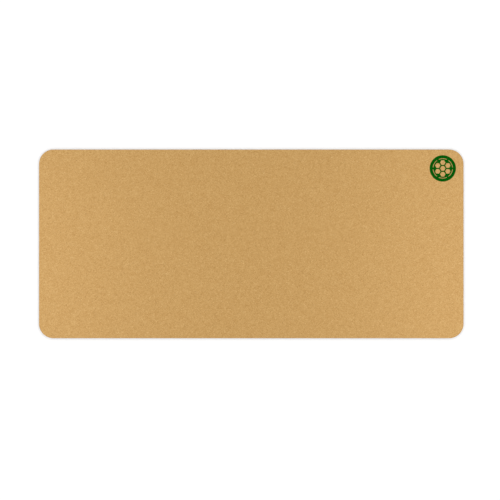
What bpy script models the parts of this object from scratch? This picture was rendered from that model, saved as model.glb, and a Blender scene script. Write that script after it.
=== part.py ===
"""Cork desk mat: a die-cut laminate of an agglomerated cork sheet on a natural-rubber base.

Units are metres and +Z is up. The origin is the middle of the underside, +X runs along the long side to
the right, and +Y runs to the back edge. From the bottom up the mat is a rubber base, an adhesive film and
a cork sheet, all cut to one outline, with a round printed emblem pressed flush into the cork near the
back right corner.
"""

import math

import bmesh
import bpy
from mathutils import Matrix, Vector

# The mat
MAT_LENGTH = 0.900  # along X
MAT_DEPTH = 0.400  # along Y
MAT_THICKNESS = 0.003
CORNER_RADIUS = 0.0305
CORNER_STEPS = 16  # straight pieces in each corner's quarter circle

# The layers, bottom to top
BASE_THICKNESS = 0.002
BOND_LINE = 0.0001  # between the rubber and the cork, filled by the adhesive
SHEET_GAP = 0.00002  # keeps faces that touch from sharing a plane
CORK_BOTTOM = BASE_THICKNESS + BOND_LINE
RIM_ROUND = 0.00025  # how far the cutting die rounds the outer rims

# The printed emblem
EMBLEM_RADIUS = 0.028
EMBLEM_FROM_RIGHT = 0.044  # the emblem's centre to the mat's right edge
EMBLEM_FROM_BACK = 0.040  # the emblem's centre to the mat's back edge
EMBLEM_CENTRE = Vector((MAT_LENGTH / 2 - EMBLEM_FROM_RIGHT, MAT_DEPTH / 2 - EMBLEM_FROM_BACK, 0))
EMBLEM_STEPS = 96
INK_THICKNESS = 0.00006
POCKET_DEPTH = INK_THICKNESS + SHEET_GAP  # pressed into the cork by the print
POCKET_CLEARANCE = 0.00005  # round the ink's rim

# The emblem's open pattern: a honeycomb of seven cells inside a broken ring
CELL_RADIUS = 0.0056  # centre to corner
CELL_PITCH = 0.0124  # centre to centre
CELL_CORNER_ROUND = 0.0008
CELL_CORNER_STEPS = 3
RING_INNER = 0.0202
RING_OUTER = 0.0213
RING_ARCS = 6
RING_ARC_ANGLE = math.radians(48)
RING_ARC_STEPS = 10
CUTTER_REACH = 0.001  # how far a cutter runs past the face that it cuts

SHARP_ANGLE = math.radians(40)  # edges that turn by more than this are shaded sharp


def clear_scene():
    for obj in list(bpy.data.objects):
        bpy.data.objects.remove(obj)


def material(name, colour, roughness):
    """A non-metallic surface of one colour."""
    made = bpy.data.materials.new(name)
    made.use_nodes = True
    shader = made.node_tree.nodes["Principled BSDF"]
    shader.inputs["Base Color"].default_value = (*colour, 1)
    shader.inputs["Roughness"].default_value = roughness
    shader.inputs["Metallic"].default_value = 0
    return made


def shade(mesh):
    """Shades the round stretches smooth and keeps the rims sharp."""
    mesh.shade_smooth()
    mesh.set_sharp_from_angle(angle=SHARP_ANGLE)


def add_object(name, bm, surface=None, location=(0, 0, 0)):
    """Puts a bmesh into the scene as one named object, and frees it."""
    bmesh.ops.recalc_face_normals(bm, faces=bm.faces)
    mesh = bpy.data.meshes.new(name)
    bm.to_mesh(mesh)
    bm.free()
    shade(mesh)
    obj = bpy.data.objects.new(name, mesh)
    obj.location = location
    bpy.context.scene.collection.objects.link(obj)
    if surface:
        mesh.materials.append(surface)
    return obj


def rounded_outline(corners, radius, steps):
    """A convex outline's points, anticlockwise, with an arc of that many steps at each corner."""
    points = []
    for index, corner in enumerate(corners):
        back = (corners[index - 1] - corner).normalized()
        ahead = (corners[(index + 1) % len(corners)] - corner).normalized()
        half_angle = back.angle(ahead) / 2
        centre = corner + (back + ahead).normalized() * radius / math.sin(half_angle)
        start = corner + back * radius / math.tan(half_angle) - centre
        turn = math.pi - 2 * half_angle
        points += [centre + Matrix.Rotation(turn * step / steps, 3, "Z") @ start for step in range(steps + 1)]
    return points


def extrude_outline(bm, outline, bottom, top):
    """Adds an upright solid with that outline, and returns the edges round its bottom and round its top."""
    face = bm.faces.new([bm.verts.new(point + Vector((0, 0, bottom))) for point in outline])
    bottom_rim = list(face.edges)
    made = bmesh.ops.extrude_face_region(bm, geom=[face])["geom"]
    raised = [part for part in made if isinstance(part, bmesh.types.BMVert)]
    bmesh.ops.translate(bm, vec=(0, 0, top - bottom), verts=raised)
    return bottom_rim, [part for part in made if isinstance(part, bmesh.types.BMEdge)]


def layer(name, bottom, top, surface, round_bottom=0, round_top=0):
    """One sheet of the laminate, cut to the mat's outline."""
    half_x, half_y = MAT_LENGTH / 2, MAT_DEPTH / 2
    corners = [Vector((x * half_x, y * half_y, 0)) for x, y in ((1, 1), (-1, 1), (-1, -1), (1, -1))]
    bm = bmesh.new()
    rims = extrude_outline(bm, rounded_outline(corners, CORNER_RADIUS, CORNER_STEPS), bottom, top)
    for rim, width in zip(rims, (round_bottom, round_top)):
        if width:
            bmesh.ops.bevel(bm, geom=rim, offset=width, segments=2, profile=0.5, affect="EDGES")
    return add_object(name, bm, surface)


def polar(radius, angle):
    return Vector((radius * math.cos(angle), radius * math.sin(angle), 0))


def disc(name, radius, bottom, top, surface=None):
    """A flat round solid on the emblem's centre."""
    bm = bmesh.new()
    outline = [polar(radius, 2 * math.pi * step / EMBLEM_STEPS) for step in range(EMBLEM_STEPS)]
    extrude_outline(bm, outline, bottom, top)
    return add_object(name, bm, surface, EMBLEM_CENTRE)


def honeycomb_cells():
    """The outlines of the middle cell and the six round it, one of them straight above the middle one."""
    centres = [Vector((0, 0, 0))] + [polar(CELL_PITCH, math.radians(30 + 60 * index)) for index in range(6)]
    hexagon = [polar(CELL_RADIUS, math.radians(60 * index)) for index in range(6)]
    cell = rounded_outline(hexagon, CELL_CORNER_ROUND, CELL_CORNER_STEPS)
    return [[centre + point for point in cell] for centre in centres]


def ring_arcs():
    """The outlines of the ring's stretches, with one at the top."""
    outlines = []
    for index in range(RING_ARCS):
        start = math.pi / 2 + 2 * math.pi * index / RING_ARCS - RING_ARC_ANGLE / 2
        angles = [start + RING_ARC_ANGLE * step / RING_ARC_STEPS for step in range(RING_ARC_STEPS + 1)]
        inner = [polar(RING_INNER, angle) for angle in reversed(angles)]
        outlines.append([polar(RING_OUTER, angle) for angle in angles] + inner)
    return outlines


def cut(obj, cutter):
    """Takes the cutter's shape out of an object, and removes the cutter."""
    boolean = obj.modifiers.new("cut", "BOOLEAN")
    boolean.operation = "DIFFERENCE"
    boolean.object = cutter
    depsgraph = bpy.context.evaluated_depsgraph_get()
    obj.data = bpy.data.meshes.new_from_object(obj.evaluated_get(depsgraph))
    obj.modifiers.clear()
    bpy.data.objects.remove(cutter)
    shade(obj.data)


def printed_emblem(surface):
    """The ink: a disc with the honeycomb and the broken ring left open."""
    bottom = MAT_THICKNESS - INK_THICKNESS
    emblem = disc("printed_emblem", EMBLEM_RADIUS, bottom, MAT_THICKNESS, surface)
    bm = bmesh.new()
    for outline in honeycomb_cells() + ring_arcs():
        extrude_outline(bm, outline, bottom - CUTTER_REACH, MAT_THICKNESS + CUTTER_REACH)
    cut(emblem, add_object("emblem_pattern_cutter", bm, location=EMBLEM_CENTRE))


def build():
    clear_scene()
    cork = material("cork", (0.52, 0.32, 0.13), 0.85)
    adhesive = material("adhesive", (0.70, 0.62, 0.45), 0.5)
    rubber = material("rubber", (0.02, 0.02, 0.02), 0.8)
    ink = material("ink", (0.003, 0.09, 0.005), 0.6)

    layer("rubber_base", 0, BASE_THICKNESS, rubber, round_bottom=RIM_ROUND)
    layer("adhesive_film", BASE_THICKNESS + SHEET_GAP, CORK_BOTTOM - SHEET_GAP, adhesive)
    sheet = layer("cork_sheet", CORK_BOTTOM, MAT_THICKNESS, cork, round_top=RIM_ROUND)
    pocket_floor = MAT_THICKNESS - POCKET_DEPTH
    pocket_top = MAT_THICKNESS + CUTTER_REACH
    cut(sheet, disc("pocket_cutter", EMBLEM_RADIUS + POCKET_CLEARANCE, pocket_floor, pocket_top))
    printed_emblem(ink)


build()
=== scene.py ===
"""Looks of the cork desk mat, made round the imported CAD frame.

The mat is a laminate: a rubber base, an adhesive film, a cork sheet and a printed emblem pressed into the
cork. The adhesive film keeps its CAD solid. The other three are meshed again here with the surface that
the real material has. Units are metres, in the CAD's frame, and millimetres in a texture.
"""

import math

import bpy
import numpy as np
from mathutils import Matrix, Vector, noise
from mathutils.geometry import delaunay_2d_cdt


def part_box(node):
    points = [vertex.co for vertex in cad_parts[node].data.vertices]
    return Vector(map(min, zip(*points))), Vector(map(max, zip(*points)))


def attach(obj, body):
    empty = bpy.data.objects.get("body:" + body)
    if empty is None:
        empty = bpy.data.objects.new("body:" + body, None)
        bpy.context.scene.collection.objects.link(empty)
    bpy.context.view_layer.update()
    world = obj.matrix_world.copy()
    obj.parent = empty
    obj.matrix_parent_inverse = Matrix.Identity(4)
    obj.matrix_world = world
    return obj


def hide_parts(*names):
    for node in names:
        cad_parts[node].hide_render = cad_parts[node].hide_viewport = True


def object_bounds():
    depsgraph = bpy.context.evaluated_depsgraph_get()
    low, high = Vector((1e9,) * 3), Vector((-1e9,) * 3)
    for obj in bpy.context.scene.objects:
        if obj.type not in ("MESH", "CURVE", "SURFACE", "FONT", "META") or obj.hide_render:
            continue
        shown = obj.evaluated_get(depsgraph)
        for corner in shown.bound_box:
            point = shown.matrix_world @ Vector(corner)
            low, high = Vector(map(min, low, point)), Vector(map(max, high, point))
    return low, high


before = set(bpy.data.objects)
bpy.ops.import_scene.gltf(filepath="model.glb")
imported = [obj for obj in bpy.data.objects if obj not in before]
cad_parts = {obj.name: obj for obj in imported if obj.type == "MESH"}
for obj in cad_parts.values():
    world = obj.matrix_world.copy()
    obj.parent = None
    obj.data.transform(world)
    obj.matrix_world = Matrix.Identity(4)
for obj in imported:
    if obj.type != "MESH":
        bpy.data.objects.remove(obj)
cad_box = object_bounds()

MM = 0.001

# The mat, from the CAD's boxes
MAT_LOW, MAT_HIGH = cad_box
MAT_LENGTH, MAT_DEPTH, MAT_TOP = MAT_HIGH.x - MAT_LOW.x, MAT_HIGH.y - MAT_LOW.y, MAT_HIGH.z
CORK_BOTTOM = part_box("cork_sheet")[0].z
RUBBER_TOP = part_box("rubber_base")[1].z
EMBLEM_LOW, EMBLEM_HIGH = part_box("printed_emblem")
EMBLEM_CENTRE = (EMBLEM_LOW + EMBLEM_HIGH) / 2
EMBLEM_RADIUS = (EMBLEM_HIGH.x - EMBLEM_LOW.x) / 2
CORNER_RADIUS = 30.5 * MM
RIM_ROUND = 0.25 * MM  # the die rounds the outer rims by this much
RIM_MIDDLE = RIM_ROUND * (1 - math.sqrt(0.5))  # how far in the middle of that rounding lies
RIM_SPACING = 0.8 * MM  # between the points round the outline
RIM_BORDER = 1.5 * RIM_SPACING  # the width of an even strip inside the rim
SCATTER = 0.25  # how far a scattered point strays, as a share of the spacing
SHARP_ANGLE = math.radians(40)  # edges that turn by more than this are shaded sharp

# Cork
GRANULE = 1.3 * MM  # the size of a cork granule
GRANULE_RELIEF = 0.03 * MM  # how far the gaps between granules lie below their crowns
RIM_CHIPPING = 0.12 * MM  # how deep the die-cut edge is torn between granules
SWELL_LENGTH = 45 * MM  # from crest to crest of the sheet's slight unevenness
SWELL_DEPTH = 0.02 * MM
CORK_SPACING = 2.5 * MM  # between the points of the face
POCKET_DEPTH = 0.08 * MM
POCKET_RIM = 0.08 * MM  # the width of the pocket's steep rim
POCKET_SPACING = 1.2 * MM  # between the points of the pocket's floor

# Ink
INK_SPACING = 0.7 * MM  # between the points of the film
INK_EDGE_SPACING = 0.4 * MM  # between the points round its edges
INK_HOLE_GAP = 0.6 * INK_SPACING  # from the pattern's edges to the film's nearest points
INK_RELIEF = 0.015 * MM
INK_BLEED = 0.05 * MM  # how far the print's edges wander into the grain

# The emblem's open pattern, as in the CAD
CELL_RADIUS = 5.6 * MM
CELL_PITCH = 12.4 * MM
CELL_CORNER_ROUND = 0.8 * MM
RING_INNER = 20.2 * MM
RING_OUTER = 21.3 * MM
RING_ARCS = 6
RING_ARC_ANGLE = math.radians(48)

# The rubber's underside: a honeycomb of shallow grip cells inside a plain border
GRIP_PITCH = 9 * MM
GRIP_LAND = 2.2 * MM  # the flat rubber between two cells
GRIP_DEPTH = 0.3 * MM
GRIP_SLOPE = math.radians(27)  # how steep a cell's walls are
GRIP_SHARP_ANGLE = math.radians(25)  # so that a cell's rims are shaded sharp too
GRIP_BORDER = 7 * MM

# Filling an outline with triangles
WHOLE_HULL = 0  # the kind of filling that also covers the hollows of an outline, up to its convex hull
FILL_TOLERANCE = 1e-6
FILL_DECIMALS = 4  # of a millimetre, so that the points of a straight side are exactly in line

# Materials. Colours are linear. Sizes, spacings and grains are in millimetres, and widths are shares of one
# cell. A warp is the size and the reach of the bends in the cells' outlines. Patches are given by a size and
# by the two values of a noise that they fade between.
CORK_COLOUR = (0.490, 0.294, 0.100)
CORK_TONE_POWERS = (0.7, 1.0, 1.6)  # for each channel, so that a darker granule is also a redder one
CORK_CONTRAST = (0.24, 0.28)  # how far a granule's shade strays: in proportion, and by its cube
CORK_STOPS = (0, 0.15, 0.3, 0.5, 0.7, 0.85, 1)
CORK_RED = (0.60, 0.27, 0.07)  # some granules lean this way
CORK_RED_STRENGTH = 0.12
CORK_ROUGHNESS = (0.82, 0.97)  # of the darkest and of the lightest granules
CORK_GRAIN = 0.25
CORK_BUMP = 0.06 * MM
LARGE_GRANULE, SMALL_GRANULE = 1.15, 0.6
GRANULE_WARP = (1.5, 0.3)
SMALL_GRANULE_PATCHES = (2.5, 0.46, 0.54)
CLUMP_SIZE = 2.1  # of the granules that share a shade
CLOUD_PATCHES = (14, 0.3, 0.7)
GRANULE_WEIGHT, CLUMP_WEIGHT, CLOUD_WEIGHT = 0.67, 0.27, 0.04  # in a granule's shade
# The thin gaps between granules are darkened: painted shade, because they lie below the granules' crowns.
SHADED_SEAM_WIDTH, SEAM_PAINTED_SHADE, SHADED_SEAM_STRENGTH = 0.09, 0.45, 0.25  # the thin lines between granules
CROWN_WIDTH = 0.25  # how far a granule's rounded rim reaches
CROWN_WEIGHT, GRAIN_WEIGHT = 0.6, 0.4  # in a granule's height
FLECK_COLOUR = (0.120, 0.052, 0.020)
FLECK_SPACING = 1.9
FLECK_WARP = (0.6, 0.4)
FLECK_SHARE = 0.3  # of the places that hold a fleck
FLECK_SIZES = (0.07, 0.24)  # as shares of the spacing
FLECK_STRENGTH = 0.75
FLECK_HOLLOW = 0.5  # how deep a fleck lies, as a share of the bump
INK_DARK, INK_LIGHT = (0.0005, 0.058, 0.0012), (0.0008, 0.090, 0.0020)
# Painted shade along the gaps between granules, darker than the ink
INK_PAINTED_SHADE_COLOUR = (0.0003, 0.037, 0.0008)
INK_SHADED_SEAM_WIDTH, INK_SHADED_SEAM_STRENGTH = 0.06, 0.35
INK_GRAIN = 0.3
INK_BUMP = 0.035 * MM
PINHOLE_COLOUR = (0.16, 0.13, 0.035)
PINHOLE_LIMIT = 0.3  # where the grain is lower than this, the cork shows through
PINHOLE_STRENGTH = 0.6
RUBBER_DARK, RUBBER_BLOOM = (0.013, 0.013, 0.014), (0.026, 0.025, 0.024)
RUBBER_ROUGHNESS = (0.72, 0.9)  # without the bloom and with it
RUBBER_GRAIN = 0.9
RUBBER_BUMP = 0.12 * MM
BLOOM_PATCHES = (18, 0.35, 0.7)
# Painted shade in the rubber's open cells, darkest at their middles
PIT_PAINTED_SHADE_COLOUR = (0.005, 0.005, 0.005)
PIT_SPACING = 0.42
PIT_WARP = (0.6, 0.15)
PIT_WALL = (0.1, 0.45)  # where a pit's wall starts and ends, as shares of the spacing
PIT_WEIGHT, RUBBER_GRAIN_WEIGHT = 0.75, 0.25  # in the rubber's height
FILLER_COLOUR = (0.11, 0.105, 0.10)
FILLER_SPACING = 1.3
FILLER_SHARE = 0.35  # of the places that hold a speck
FILLER_SIZE = 0.13  # as a share of the spacing
FILLER_STRENGTH = 0.5
ADHESIVE_THIN, ADHESIVE_THICK = (0.50, 0.40, 0.22), (0.66, 0.58, 0.40)
ADHESIVE_PATCHES = (1.2, 0.35, 0.65)
ADHESIVE_GRAIN = 0.2
ADHESIVE_BUMP = 0.01 * MM
FLOOR_COLOUR = (0.955, 0.955, 0.955)

# Camera, framed so that the mat stands a little above the middle of a square picture
LENS, SENSOR = 85, 36  # millimetres
VIEW_WIDTH = 1.06  # what the picture spans at the mat's face
VIEW_OFFSET = Vector((-0.0027, -0.0130, 0))  # from the mat's centre to the middle of the picture

# Light
SKY_HORIZON, SKY_ZENITH = 1.60, 0.87  # the sky's brightness
STRIP_POWERS = (0.76, 0.85)  # left and right, in watts
STRIP_COLOUR = (0.70, 0.74, 1.0)  # cooler than the sky
STRIP_SIZE = (0.1, 0.9)
STRIP_PLACE = Vector((0.5, -0.15, 0.35))  # the right one's; the left one is its mirror image
FLOOR_SIZE = 30
FLOOR_DROP = 0.02 * MM  # below the mat, so that the two faces don't share a plane


# ---------------------------------------------------------------- outlines

def arc(centre, radius, start, turn, spacing):
    """Points along an arc, both ends included."""
    steps = max(2, math.ceil(abs(turn) * radius / spacing))
    angles = start + turn * np.arange(steps + 1) / steps
    return np.array(centre) + radius * np.stack([np.cos(angles), np.sin(angles)], axis=1)


def around(centre, radius, count, start=0.0):
    """Points evenly round a circle, anticlockwise."""
    angles = start + 2 * math.pi * np.arange(count) / count
    return np.array(centre) + radius * np.stack([np.cos(angles), np.sin(angles)], axis=1)


def circle(centre, radius, spacing):
    return around(centre, radius, round(2 * math.pi * radius / spacing))


def spaced(corners, spacing):
    """A closed outline's points, with each side that is longer than the spacing divided evenly."""
    points = []
    for start, end in zip(corners, np.roll(corners, -1, axis=0)):
        steps = max(1, round(np.linalg.norm(end - start) / spacing))
        points += [start + (end - start) * step / steps for step in range(steps)]
    return np.array(points)


def rounded_polygon(corners, radius, spacing):
    """A convex outline's points, anticlockwise, with an arc at each corner."""
    points = []
    for index, corner in enumerate(corners):
        back = corners[index - 1] - corner
        ahead = corners[(index + 1) % len(corners)] - corner
        back, ahead = back / np.linalg.norm(back), ahead / np.linalg.norm(ahead)
        half_angle = math.acos(np.dot(back, ahead)) / 2
        middle = (back + ahead) / np.linalg.norm(back + ahead)
        centre = corner + middle * radius / math.sin(half_angle)
        start = corner + back * radius / math.tan(half_angle) - centre
        points.append(arc(centre, radius, math.atan2(start[1], start[0]), math.pi - 2 * half_angle, spacing))
    return spaced(np.concatenate(points), spacing)


def mat_outline():
    half = np.array([MAT_LENGTH, MAT_DEPTH]) / 2
    corners = half * np.array([(1, 1), (-1, 1), (-1, -1), (1, -1)])
    return rounded_polygon(corners, CORNER_RADIUS, RIM_SPACING)


def outward(points):
    """Each point's direction out of a closed anticlockwise outline."""
    along = np.roll(points, -1, axis=0) - np.roll(points, 1, axis=0)
    return np.stack([along[:, 1], -along[:, 0]], axis=1) / np.linalg.norm(along, axis=1)[:, None]


def inset_from_rim(points):
    """How far inside the mat's outline each point lies."""
    past = np.abs(points) - (np.array([MAT_LENGTH, MAT_DEPTH]) / 2 - CORNER_RADIUS)
    outside = np.linalg.norm(np.maximum(past, 0), axis=1)
    return CORNER_RADIUS - outside - np.minimum(past.max(axis=1), 0)


def scattered(low, high, spacing, seed):
    """Points over a rectangle, in staggered rows and each a little out of place."""
    row_gap = spacing * math.sqrt(3) / 2
    rows = np.arange(low[1], high[1], row_gap)
    columns = np.arange(low[0], high[0], spacing)
    x, y = np.meshgrid(columns, rows)
    x[1::2] += spacing / 2
    points = np.stack([x.ravel(), y.ravel()], axis=1)
    return points + np.random.default_rng(seed).uniform(-SCATTER, SCATTER, points.shape) * spacing


# ---------------------------------------------------------------- the emblem's pattern

def emblem_cells(spacing):
    """The outlines of the honeycomb's seven cells, round the emblem's centre."""
    centre = np.array(EMBLEM_CENTRE.xy)
    cell = rounded_polygon(around((0, 0), CELL_RADIUS, 6), CELL_CORNER_ROUND, spacing)
    middles = [centre, *around(centre, CELL_PITCH, 6, math.radians(30))]
    return [cell + middle for middle in middles]


def emblem_arcs(spacing):
    """The outlines of the broken ring's stretches."""
    centre = np.array(EMBLEM_CENTRE.xy)
    outlines = []
    for index in range(RING_ARCS):
        start = math.pi / 2 + 2 * math.pi * index / RING_ARCS - RING_ARC_ANGLE / 2
        outer = arc(centre, RING_OUTER, start, RING_ARC_ANGLE, spacing)
        inner = arc(centre, RING_INNER, start + RING_ARC_ANGLE, -RING_ARC_ANGLE, spacing)
        outlines.append(spaced(np.concatenate([outer, inner]), spacing))
    return outlines


# ---------------------------------------------------------------- surfaces

def granules(points, size):
    """From 0 at a granule's crown to about 1 between granules, at each point in space."""
    return np.array([min(noise.voronoi(Vector(point / size))[0][0], 1) ** 2 for point in points])


def swell(points):
    """A slow unevenness from 0 to 1."""
    return np.array([0.5 + 0.5 * noise.noise(Vector(point / SWELL_LENGTH)) for point in points])


def raised(points, height):
    """Points of a plane, put at a height."""
    return np.column_stack([points, np.broadcast_to(height, len(points))])


def cork_face(points, height):
    """The cork's face over points of a plane: it lies at the height or, between granules, a little below."""
    flat = raised(points, height)
    flat[:, 2] -= GRANULE_RELIEF * granules(flat, GRANULE) + SWELL_DEPTH * swell(flat)
    return flat


def ink_face(points):
    """The ink's face over points of a plane, also sunk a little between granules."""
    flat = raised(points, MAT_TOP)
    flat[:, 2] -= INK_RELIEF * granules(flat, GRANULE)
    return flat


class Shell:
    """A closed mesh in the making: points in space, and faces that name them by number."""

    def __init__(self):
        self.points = np.zeros((0, 3))
        self.faces = []

    def add(self, points):
        """Adds points and returns their numbers."""
        first = len(self.points)
        self.points = np.concatenate([self.points, points])
        return np.arange(first, len(self.points))

    def bridge(self, lower, upper):
        """Joins two rings of as many points, the second above or inside the first."""
        ahead_lower, ahead_upper = np.roll(lower, -1), np.roll(upper, -1)
        self.faces += np.stack([lower, ahead_lower, ahead_upper, upper], axis=1).tolist()

    def cap(self, ring, looks_up):
        """Closes a ring with one flat face."""
        self.faces.append((ring if looks_up else ring[::-1]).tolist())

    def fill(self, loops, inner, looks_up=True, holes=()):
        """Closes the first loop with triangles that pass through the other loops and the inner points.

        Every loop and the inner points are given as numbers. A triangle inside a hole is left out.
        """
        numbers = np.concatenate([*loops, inner])
        edges = []
        first = 0
        for loop in loops:
            edges += [(first + i, first + (i + 1) % len(loop)) for i in range(len(loop))]
            first += len(loop)
        flat = np.round(self.points[numbers, :2] / MM, FILL_DECIMALS)
        places = [Vector(point) for point in flat]
        made = delaunay_2d_cdt(places, edges, [], WHOLE_HULL, FILL_TOLERANCE, True)
        triangles, sources = made[2], made[3]
        corners = np.array([source[0] for source in sources])[np.array(triangles)]
        middles = flat[corners].mean(axis=1)
        # The filling runs on to the convex hull, so triangles past the first loop are dropped.
        kept = np.ones(len(corners), bool)
        on_rim = (corners < len(loops[0])).all(axis=1)
        kept[on_rim] = inside(middles[on_rim], flat[: len(loops[0])])
        for hole in holes:
            kept &= ~inside(middles, hole / MM)
        corners = numbers[corners[kept]]
        self.faces += (corners if looks_up else corners[:, ::-1]).tolist()

    def finish(self, name, surface, sharp_angle):
        """Makes the object, smooth but for edges over the angle."""
        mesh = bpy.data.meshes.new(name)
        mesh.from_pydata(self.points.tolist(), [], self.faces)
        mesh.materials.append(surface)
        mesh.shade_smooth()
        mesh.set_sharp_from_angle(angle=sharp_angle)
        made = bpy.data.objects.new(name, mesh)
        bpy.context.scene.collection.objects.link(made)
        return made


def inside(points, outline):
    """Which points lie inside a closed outline."""
    low, high = outline.min(axis=0), outline.max(axis=0)
    near = np.flatnonzero(((points > low) & (points < high)).all(axis=1))
    crossings = np.zeros(len(near), int)
    x, y = points[near].T
    for (x1, y1), (x2, y2) in zip(outline, np.roll(outline, -1, axis=0)):
        spans = (y1 > y) != (y2 > y)
        if spans.any():
            crossings += spans & (x < x1 + (x2 - x1) * (y - y1) / (y2 - y1 if y2 != y1 else 1))
    found = np.zeros(len(points), bool)
    found[near] = crossings % 2 == 1
    return found


def clear_of(points, outlines, distance):
    """The points that aren't within the distance of any outline's points."""
    kept = points
    for outline in outlines:
        low, high = outline.min(axis=0) - distance, outline.max(axis=0) + distance
        near = ((kept > low) & (kept < high)).all(axis=1)
        gaps = np.full(len(kept), np.inf)
        if near.any():
            gaps[near] = np.linalg.norm(kept[near][:, None] - outline[None], axis=2).min(axis=1)
        kept = kept[gaps > distance]
    return kept


def rim(shell, outline, profile, chipping):
    """Adds the rings of a rim and joins them, and returns the first and the last.

    The profile is (inset, height, tilt) for each ring, and the tilt is how far its face leans up. Between
    granules each point is sunk into the face by up to the chipping.
    """
    out = outward(outline)
    rings = []
    for inset, height, tilt in profile:
        points = raised(outline - out * inset, height)
        lean = np.column_stack([out * math.cos(tilt), np.full(len(out), math.sin(tilt))])
        if chipping:
            points -= lean * (chipping * granules(points, GRANULE))[:, None]
        rings.append(shell.add(points))
    for lower, upper in zip(rings, rings[1:]):
        shell.bridge(lower, upper)
    return rings[0], rings[-1]


# ---------------------------------------------------------------- pieces

def cork_piece(surface):
    """The cork sheet, with a grainy face, a torn die-cut edge and the emblem's pocket."""
    shell = Shell()
    outline = mat_outline()
    thickness = MAT_TOP - CORK_BOTTOM
    profile = [(0, CORK_BOTTOM + thickness * share, 0) for share in (0, 0.25, 0.5)]
    profile += [
        (0, MAT_TOP - RIM_ROUND, 0),
        (RIM_MIDDLE, MAT_TOP - RIM_MIDDLE, math.radians(45)),
    ]
    bottom, shoulder = rim(shell, outline, profile, RIM_CHIPPING)
    out = outward(outline)
    edge = shell.add(cork_face(outline - out * RIM_ROUND, MAT_TOP))
    border = shell.add(cork_face(outline - out * RIM_BORDER, MAT_TOP))
    shell.bridge(shoulder, edge)
    shell.bridge(edge, border)
    shell.cap(bottom, looks_up=False)

    centre = np.array(EMBLEM_CENTRE.xy)
    floor_rim = circle(centre, EMBLEM_RADIUS + POCKET_RIM, INK_EDGE_SPACING)
    face_rim = circle(centre, EMBLEM_RADIUS + 2 * POCKET_RIM, INK_EDGE_SPACING)
    low, high = np.array(MAT_LOW.xy), np.array(MAT_HIGH.xy)
    face = scattered(low, high, CORK_SPACING, seed=1)
    face = face[inset_from_rim(face) > CORK_SPACING]
    face = face[np.linalg.norm(face - centre, axis=1) > EMBLEM_RADIUS + POCKET_SPACING]
    pocket = scattered(centre - EMBLEM_RADIUS, centre + EMBLEM_RADIUS, POCKET_SPACING, seed=2)
    pocket = pocket[np.linalg.norm(pocket - centre, axis=1) < EMBLEM_RADIUS - POCKET_SPACING / 2]
    loops = [border, shell.add(cork_face(face_rim, MAT_TOP))]
    loops.append(shell.add(cork_face(floor_rim, MAT_TOP - POCKET_DEPTH)))
    inner = [shell.add(cork_face(face, MAT_TOP)), shell.add(cork_face(pocket, MAT_TOP - POCKET_DEPTH))]
    shell.fill(loops, np.concatenate(inner))
    return shell.finish("cork", surface, SHARP_ANGLE)


def ink_piece(surface):
    """The printed emblem: a film of ink with the honeycomb and the broken ring left open."""
    shell = Shell()
    centre = np.array(EMBLEM_CENTRE.xy)
    disc = circle(centre, EMBLEM_RADIUS, INK_EDGE_SPACING)
    holes = emblem_cells(INK_EDGE_SPACING) + emblem_arcs(INK_EDGE_SPACING)
    face = scattered(centre - EMBLEM_RADIUS, centre + EMBLEM_RADIUS, INK_SPACING, seed=3)
    face = face[np.linalg.norm(face - centre, axis=1) < EMBLEM_RADIUS - INK_SPACING]
    for hole in holes:
        face = face[~inside(face, hole)]
    face = clear_of(face, holes, INK_HOLE_GAP)

    bottom_rings, top_rings = [], []
    for outline, bleed in [(disc, -INK_BLEED)] + [(hole, INK_BLEED) for hole in holes]:
        ragged = outline + outward(outline) * (bleed * granules(raised(outline, 0), GRANULE))[:, None]
        bottom_rings.append(shell.add(raised(ragged, EMBLEM_LOW.z)))
        top_rings.append(shell.add(ink_face(ragged)))
    shell.bridge(bottom_rings[0], top_rings[0])
    for lower, upper in zip(bottom_rings[1:], top_rings[1:]):
        shell.bridge(lower[::-1], upper[::-1])
    hole_outlines = [shell.points[ring, :2] for ring in top_rings[1:]]
    shell.fill(top_rings, shell.add(ink_face(face)), holes=hole_outlines)
    shell.fill(bottom_rings, shell.add(raised(face, EMBLEM_LOW.z)), looks_up=False, holes=hole_outlines)
    return shell.finish("printed_ink", surface, SHARP_ANGLE)


def grip_cells():
    """The middles of the underside's grip cells, those that lie whole inside the border."""
    rows = np.arange(MAT_LOW.y, MAT_HIGH.y, GRIP_PITCH * math.sqrt(3) / 2)
    columns = np.arange(MAT_LOW.x, MAT_HIGH.x, GRIP_PITCH)
    x, y = np.meshgrid(columns, rows)
    x[1::2] += GRIP_PITCH / 2
    middles = np.stack([x.ravel(), y.ravel()], axis=1)
    middles -= (middles.min(axis=0) + middles.max(axis=0)) / 2
    return middles[inset_from_rim(middles) > GRIP_BORDER + GRIP_PITCH / 2]


def rubber_piece(surface):
    """The rubber base, with a die-cut edge and a honeycomb of grip cells under it."""
    shell = Shell()
    outline = mat_outline()
    profile = [
        (RIM_BORDER, 0, 0),
        (RIM_ROUND, 0, 0),
        (RIM_MIDDLE, RIM_MIDDLE, 0),
        (0, RIM_ROUND, 0),
        (0, RUBBER_TOP / 2, 0),
        (0, RUBBER_TOP, 0),
    ]
    border, top = rim(shell, outline, profile, 0)
    shell.cap(top, looks_up=True)
    land_radius = (GRIP_PITCH - GRIP_LAND) / math.sqrt(3)
    floor_radius = land_radius - GRIP_DEPTH / math.tan(GRIP_SLOPE) / math.cos(math.radians(30))
    loops = [border]
    for middle in grip_cells():
        for radius, height in ((land_radius, 0), (floor_radius, GRIP_DEPTH)):
            cell = around(middle, radius, 6, math.radians(30))
            loops.append(shell.add(raised(cell, height)))
    shell.fill(loops, np.zeros(0, int), looks_up=False)
    return shell.finish("rubber", surface, GRIP_SHARP_ANGLE)


# ---------------------------------------------------------------- materials

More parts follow.
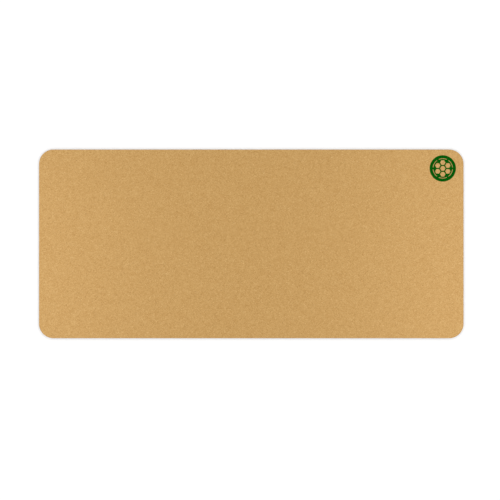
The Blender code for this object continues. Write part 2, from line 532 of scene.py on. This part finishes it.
class Surface:
    """A Principled material in the making. Most methods add a node and return its output."""

    def __init__(self, name):
        self.material = bpy.data.materials.new(name)
        self.material.use_nodes = True
        self.tree = self.material.node_tree
        self.shader = self.tree.nodes["Principled BSDF"]
        place = self.tree.nodes.new("ShaderNodeTexCoord").outputs["Object"]
        self.place = self.vector("SCALE", place, Scale=1 / MM)

    def put(self, socket, value):
        """Links a socket to a node's output, or sets it to a number or a colour."""
        if isinstance(value, bpy.types.NodeSocket):
            self.tree.links.new(value, socket)
        elif isinstance(value, (tuple, list)) and socket.type == "RGBA":
            socket.default_value = (*value, 1)
        else:
            socket.default_value = value

    def math(self, operation, first, second=0.0, third=0.0):
        node = self.tree.nodes.new("ShaderNodeMath")
        node.operation = operation
        for socket, value in zip(node.inputs, (first, second, third)):
            self.put(socket, value)
        return node.outputs[0]

    def weighted(self, *terms):
        """The sum of values, each times its weight."""
        total = 0.0
        for value, weight in terms:
            total = self.math("MULTIPLY_ADD", value, weight, total)
        return total

    def vector(self, operation, first, second=(0.0, 0.0, 0.0), **named):
        node = self.tree.nodes.new("ShaderNodeVectorMath")
        node.operation = operation
        self.put(node.inputs[0], first)
        self.put(node.inputs[1], second)
        for name, value in named.items():
            self.put(node.inputs[name], value)
        return node.outputs[0]

    def noise(self, size, detail=2.0, colour=False):
        node = self.tree.nodes.new("ShaderNodeTexNoise")
        self.put(node.inputs["Vector"], self.place)
        node.inputs["Scale"].default_value = 1 / size
        node.inputs["Detail"].default_value = detail
        return node.outputs["Color" if colour else "Fac"]

    def voronoi(self, size, place, feature="F1"):
        """Cells of a size. This one returns the whole node, for its colour and its distance."""
        node = self.tree.nodes.new("ShaderNodeTexVoronoi")
        node.feature = feature
        self.put(node.inputs["Vector"], place)
        node.inputs["Scale"].default_value = 1 / size
        return node

    def warped(self, size, reach):
        """The place, pushed about by up to the reach."""
        push = self.vector("SUBTRACT", self.noise(size, colour=True), (0.5, 0.5, 0.5))
        return self.vector("ADD", self.place, self.vector("SCALE", push, Scale=2 * reach))

    def spread(self, value, low, high, to_low=0.0, to_high=1.0):
        """A value taken from one range to another, and held inside it."""
        node = self.tree.nodes.new("ShaderNodeMapRange")
        for name, given in (
            ("Value", value),
            ("From Min", low),
            ("From Max", high),
            ("To Min", to_low),
            ("To Max", to_high),
        ):
            self.put(node.inputs[name], given)
        return node.outputs[0]

    def patches(self, size, low, high, detail):
        """Patches of a size, from 0 where the noise is below the low value to 1 above the high one."""
        return self.spread(self.noise(size, detail), low, high)

    def mix(self, share, first, second):
        node = self.tree.nodes.new("ShaderNodeMix")
        node.data_type = "RGBA"
        for name, value in (("Factor_Float", share), ("A_Color", first), ("B_Color", second)):
            self.put(next(s for s in node.inputs if s.identifier == name), value)
        return next(s for s in node.outputs if s.identifier == "Result_Color")

    def ramp(self, value, *stops):
        """A colour that runs through (position, colour) stops."""
        node = self.tree.nodes.new("ShaderNodeValToRGB")
        self.put(node.inputs["Fac"], value)
        elements = node.color_ramp.elements
        while len(elements) < len(stops):
            elements.new(0.5)
        for element, (position, colour) in zip(elements, stops):
            element.position = position
            element.color = (*colour, 1)
        return node.outputs["Color"]

    def split(self, colour):
        node = self.tree.nodes.new("ShaderNodeSeparateColor")
        self.put(node.inputs[0], colour)
        return node.outputs

    def bump(self, height, depth):
        """Raises the surface by the height, from 0 to 1, times the depth in metres."""
        node = self.tree.nodes.new("ShaderNodeBump")
        node.inputs["Distance"].default_value = depth
        self.put(node.inputs["Height"], height)
        self.put(self.shader.inputs["Normal"], node.outputs["Normal"])

    def finish(self, colour, roughness, specular):
        """Gives the shader its colour and gloss, and returns the material."""
        self.put(self.shader.inputs["Base Color"], colour)
        self.put(self.shader.inputs["Roughness"], roughness)
        self.put(self.shader.inputs["Specular IOR Level"], specular)
        return self.material


def granule_seams(surface, warped):
    """How far each place is from the nearest line between two large granules."""
    return surface.voronoi(LARGE_GRANULE, warped, "DISTANCE_TO_EDGE").outputs["Distance"]


def granule_height(surface, seams, grain):
    """The height of the granules' rounded crowns, with a fine grain on them."""
    crown = surface.spread(seams, 0, CROWN_WIDTH)
    return surface.weighted((crown, CROWN_WEIGHT), (grain, GRAIN_WEIGHT))


def cork_tone(shade):
    """Cork's colour at a shade round 1."""
    return tuple(channel * shade**power for channel, power in zip(CORK_COLOUR, CORK_TONE_POWERS))


def cork_stop(place):
    """A ramp's stop, from the darkest granule at 0 to the lightest at 1."""
    side = 2 * place - 1
    straight, cubic = CORK_CONTRAST
    return place, cork_tone(1 + straight * side + cubic * side**3)


def cork_surface():
    """Agglomerated cork: granules of two sizes in many tans, dark flecks, and painted shade in the thin gaps
    where they meet.
    """
    cork = Surface("cork")
    warped = cork.warped(*GRANULE_WARP)
    large = cork.voronoi(LARGE_GRANULE, warped)
    small = cork.voronoi(SMALL_GRANULE, warped)
    use_small = cork.patches(*SMALL_GRANULE_PATCHES, detail=2)
    lightness, redness, _ = cork.split(cork.mix(use_small, large.outputs["Color"], small.outputs["Color"]))
    clump = cork.split(cork.voronoi(CLUMP_SIZE, warped).outputs["Color"])[0]
    cloud = cork.patches(*CLOUD_PATCHES, detail=1)
    shade = cork.weighted((lightness, GRANULE_WEIGHT), (clump, CLUMP_WEIGHT), (cloud, CLOUD_WEIGHT))
    colour = cork.ramp(shade, *[cork_stop(place) for place in CORK_STOPS])
    colour = cork.mix(cork.spread(redness, 0, 1, 0, CORK_RED_STRENGTH), colour, CORK_RED)
    seams = granule_seams(cork, warped)
    # Painted shade in the gaps between granules
    colour = cork.mix(cork.spread(seams, 0, SHADED_SEAM_WIDTH, SHADED_SEAM_STRENGTH, 0), colour, cork_tone(SEAM_PAINTED_SHADE))
    flecks = cork.voronoi(FLECK_SPACING, cork.warped(*FLECK_WARP))
    chance, fleck_size, _ = cork.split(flecks.outputs["Color"])
    fleck_reach = cork.spread(fleck_size, 0, 1, *FLECK_SIZES)
    near = cork.math("LESS_THAN", flecks.outputs["Distance"], fleck_reach)
    dark = cork.math("MULTIPLY", cork.math("LESS_THAN", chance, FLECK_SHARE), near)
    colour = cork.mix(cork.math("MULTIPLY", dark, FLECK_STRENGTH), colour, FLECK_COLOUR)

    height = granule_height(cork, seams, cork.noise(CORK_GRAIN, detail=4))
    cork.bump(cork.math("MULTIPLY_ADD", dark, -FLECK_HOLLOW, height), CORK_BUMP)
    return cork.finish(colour, cork.spread(lightness, 0, 1, *CORK_ROUGHNESS), specular=0.2)


def ink_surface():
    """Green screen-printing ink that has sunk into the grain, with painted shade along the gaps between
    granules.
    """
    ink = Surface("green_ink")
    warped = ink.warped(*GRANULE_WARP)
    lightness = ink.split(ink.voronoi(LARGE_GRANULE, warped).outputs["Color"])[0]
    seams = granule_seams(ink, warped)
    colour = ink.mix(lightness, INK_DARK, INK_LIGHT)
    # Painted shade along the gaps between granules
    colour = ink.mix(ink.spread(seams, 0, INK_SHADED_SEAM_WIDTH, INK_SHADED_SEAM_STRENGTH, 0), colour, INK_PAINTED_SHADE_COLOUR)
    grain = ink.noise(INK_GRAIN, detail=3)
    pinhole = ink.math("LESS_THAN", grain, PINHOLE_LIMIT)
    colour = ink.mix(ink.math("MULTIPLY", pinhole, PINHOLE_STRENGTH), colour, PINHOLE_COLOUR)
    ink.bump(granule_height(ink, seams, grain), INK_BUMP)
    return ink.finish(colour, roughness=0.8, specular=0.015)


def rubber_surface():
    """Black foamed natural rubber: fine open cells with painted shade in them, pale specks of filler and a
    dusty bloom.
    """
    rubber = Surface("rubber")
    bloom = rubber.patches(*BLOOM_PATCHES, detail=4)
    colour = rubber.mix(bloom, RUBBER_DARK, RUBBER_BLOOM)
    warped = rubber.warped(*PIT_WARP)
    land = rubber.spread(rubber.voronoi(PIT_SPACING, warped).outputs["Distance"], *PIT_WALL)
    # Painted shade in the open cells, darkest at their middles
    colour = rubber.mix(rubber.math("SUBTRACT", 1, land), colour, PIT_PAINTED_SHADE_COLOUR)
    filler = rubber.voronoi(FILLER_SPACING, warped)
    present = rubber.math("LESS_THAN", rubber.split(filler.outputs["Color"])[0], FILLER_SHARE)
    near = rubber.math("LESS_THAN", filler.outputs["Distance"], FILLER_SIZE)
    speck = rubber.math("MULTIPLY", present, near)
    colour = rubber.mix(rubber.math("MULTIPLY", speck, FILLER_STRENGTH), colour, FILLER_COLOUR)
    grain = rubber.noise(RUBBER_GRAIN, detail=3)
    rubber.bump(rubber.weighted((land, PIT_WEIGHT), (grain, RUBBER_GRAIN_WEIGHT)), RUBBER_BUMP)
    return rubber.finish(colour, rubber.spread(bloom, 0, 1, *RUBBER_ROUGHNESS), specular=0.35)


def adhesive_surface():
    """A dried film of contact adhesive, seen only as a line at the edge."""
    adhesive = Surface("adhesive")
    thick = adhesive.patches(*ADHESIVE_PATCHES, detail=3)
    colour = adhesive.mix(thick, ADHESIVE_THIN, ADHESIVE_THICK)
    adhesive.bump(adhesive.noise(ADHESIVE_GRAIN), ADHESIVE_BUMP)
    return adhesive.finish(colour, roughness=0.45, specular=0.4)


# ---------------------------------------------------------------- stage

def make_floor():
    bpy.ops.mesh.primitive_plane_add(size=FLOOR_SIZE, location=(0, 0, -FLOOR_DROP))
    floor = bpy.context.object
    floor.name = "floor"
    floor.data.materials.append(Surface("pale_floor").finish(FLOOR_COLOUR, roughness=0.9, specular=0.1))


def make_lights(lit):
    """A white sky, brightest at the horizon, and a long soft strip light over each end of the mat.

    The strips light only the given pieces, because on the floor they would wash out the mat's shadow.
    """
    world = bpy.data.worlds.new("studio")
    world.use_nodes = True
    nodes, links = world.node_tree.nodes, world.node_tree.links
    sky = nodes["Background"]
    sky.inputs["Color"].default_value = (1, 1, 1, 1)
    direction = nodes.new("ShaderNodeSeparateXYZ")
    links.new(nodes.new("ShaderNodeTexCoord").outputs["Generated"], direction.inputs[0])
    brightness = nodes.new("ShaderNodeMapRange")
    brightness.inputs["To Min"].default_value = SKY_HORIZON
    brightness.inputs["To Max"].default_value = SKY_ZENITH
    links.new(direction.outputs["Z"], brightness.inputs["Value"])
    links.new(brightness.outputs[0], sky.inputs["Strength"])
    bpy.context.scene.world = world
    receivers = bpy.data.collections.new("lit_by_strips")
    for piece in lit:
        receivers.objects.link(piece)
    for side, name, power in zip((-1, 1), ("strip_left", "strip_right"), STRIP_POWERS):
        strip = bpy.data.lights.new(name, "AREA")
        strip.shape = "RECTANGLE"
        strip.size, strip.size_y = STRIP_SIZE
        strip.energy = power
        strip.color = STRIP_COLOUR
        lamp = bpy.data.objects.new(name, strip)
        lamp.location = (side * STRIP_PLACE.x, STRIP_PLACE.y, STRIP_PLACE.z)
        lamp.visible_camera = False
        lamp.light_linking.receiver_collection = receivers
        bpy.context.scene.collection.objects.link(lamp)


def make_camera():
    """Straight above the mat, looking down."""
    lens = bpy.data.cameras.new("camera")
    lens.lens, lens.sensor_width = LENS, SENSOR
    camera = bpy.data.objects.new("camera", lens)
    centre = (MAT_LOW + MAT_HIGH) / 2 + VIEW_OFFSET
    camera.location = (centre.x, centre.y, MAT_TOP + VIEW_WIDTH * LENS / SENSOR)
    bpy.context.scene.collection.objects.link(camera)
    bpy.context.scene.camera = camera


def main():
    pieces = (
        (cork_piece(cork_surface()), "cork_sheet", "cork"),
        (ink_piece(ink_surface()), "printed_emblem", "green_ink"),
        (rubber_piece(rubber_surface()), "rubber_base", "rubber"),
    )
    for piece, node, slot in pieces:
        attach(piece, "root")
        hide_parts(node)
    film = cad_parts["adhesive_film"]
    film.data.materials[0] = adhesive_surface()
    cork, ink, rubber = (piece for piece, _, _ in pieces)
    make_floor()
    make_lights([cork, ink, rubber, film])
    make_camera()
    bpy.context.scene.view_settings.view_transform = "Standard"


main()
